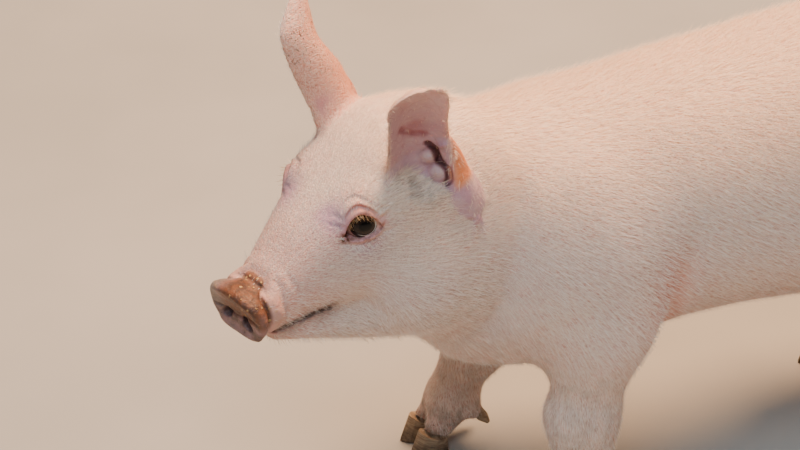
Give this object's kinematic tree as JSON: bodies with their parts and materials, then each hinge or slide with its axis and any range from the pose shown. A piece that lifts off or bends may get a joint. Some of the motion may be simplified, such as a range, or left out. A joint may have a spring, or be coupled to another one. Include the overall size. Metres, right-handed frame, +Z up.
{
  "type": "pig",
  "caption": "Young pale-skinned pig standing still with its head turned slightly aside, ears raised and mouth shut, a still model of the live animal.",
  "frame": {"origin": "middle of the model's box, on the floor between the feet", "axes": "+Z up; the snout points towards -X and the rump towards +X; the pig's left side faces -Y"},
  "size_m": [0.446, 0.1366, 0.2867],
  "materials": {
    "skin": "satin",
    "ear_skin": "satin",
    "snout": "satin",
    "horn": "satin",
    "eye": "gloss"
  },
  "bodies": {
    "root": {"barrel": "skin", "chest": "skin", "claw_foreleg_left_inner": "horn", "claw_foreleg_left_outer": "horn", "claw_foreleg_right_inner": "horn", "claw_foreleg_right_outer": "horn", "claw_hindleg_left_inner": "horn", "claw_hindleg_left_outer": "horn", "claw_hindleg_right_inner": "horn", "claw_hindleg_right_outer": "horn", "dewclaw_foreleg_left_inner": "horn", "dewclaw_foreleg_left_outer": "horn", "dewclaw_foreleg_right_inner": "horn", "dewclaw_foreleg_right_outer": "horn", "dewclaw_hindleg_left_inner": "horn", "dewclaw_hindleg_left_outer": "horn", "dewclaw_hindleg_right_inner": "horn", "dewclaw_hindleg_right_outer": "horn", "ear_left": "ear_skin", "ear_right": "ear_skin", "eye_left": "eye", "eye_right": "eye", "foreleg_left_lower": "skin", "foreleg_left_upper": "skin", "foreleg_right_lower": "skin", "foreleg_right_upper": "skin", "head": "skin", "hindleg_left_lower": "skin", "hindleg_left_upper": "skin", "hindleg_right_lower": "skin", "hindleg_right_upper": "skin", "lower_jaw": "skin", "neck": "skin", "rump": "skin", "snout_disc": "snout", "tail": "skin"}
  },
  "joints": []
}
